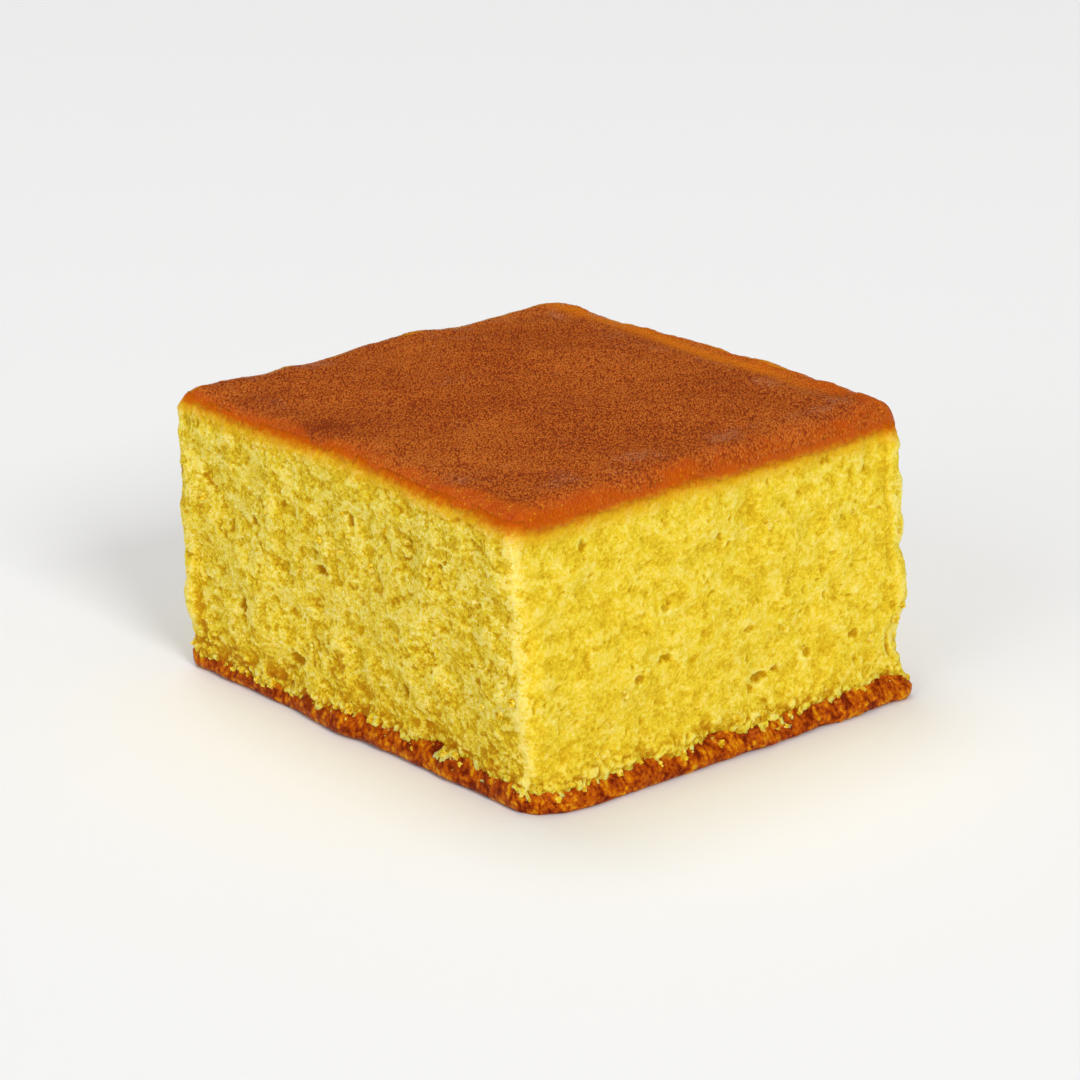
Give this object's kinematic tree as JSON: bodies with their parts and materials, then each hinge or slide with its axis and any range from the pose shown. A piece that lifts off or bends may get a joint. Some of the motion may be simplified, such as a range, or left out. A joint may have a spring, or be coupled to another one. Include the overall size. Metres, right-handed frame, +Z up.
{
  "type": "square piece of sfouf cake",
  "caption": "Cut square of yellow semolina sponge cake: smooth browned top crust, open crumb on the cut sides, thin browned base.",
  "frame": {"origin": "centre of the flat base on the surface it rests on", "axes": "+Z up through the top crust; X and Y run along the cut sides, Y along the longer one; the near corner of the usual view is at -X -Y"},
  "size_m": [0.0618, 0.0658, 0.0367],
  "materials": {
    "cake": "matte porous yellow crumb, with a satin reddish-brown top crust and a dark brown base crust"
  },
  "bodies": {
    "root": {"sfouf_piece": "cake"}
  },
  "joints": []
}
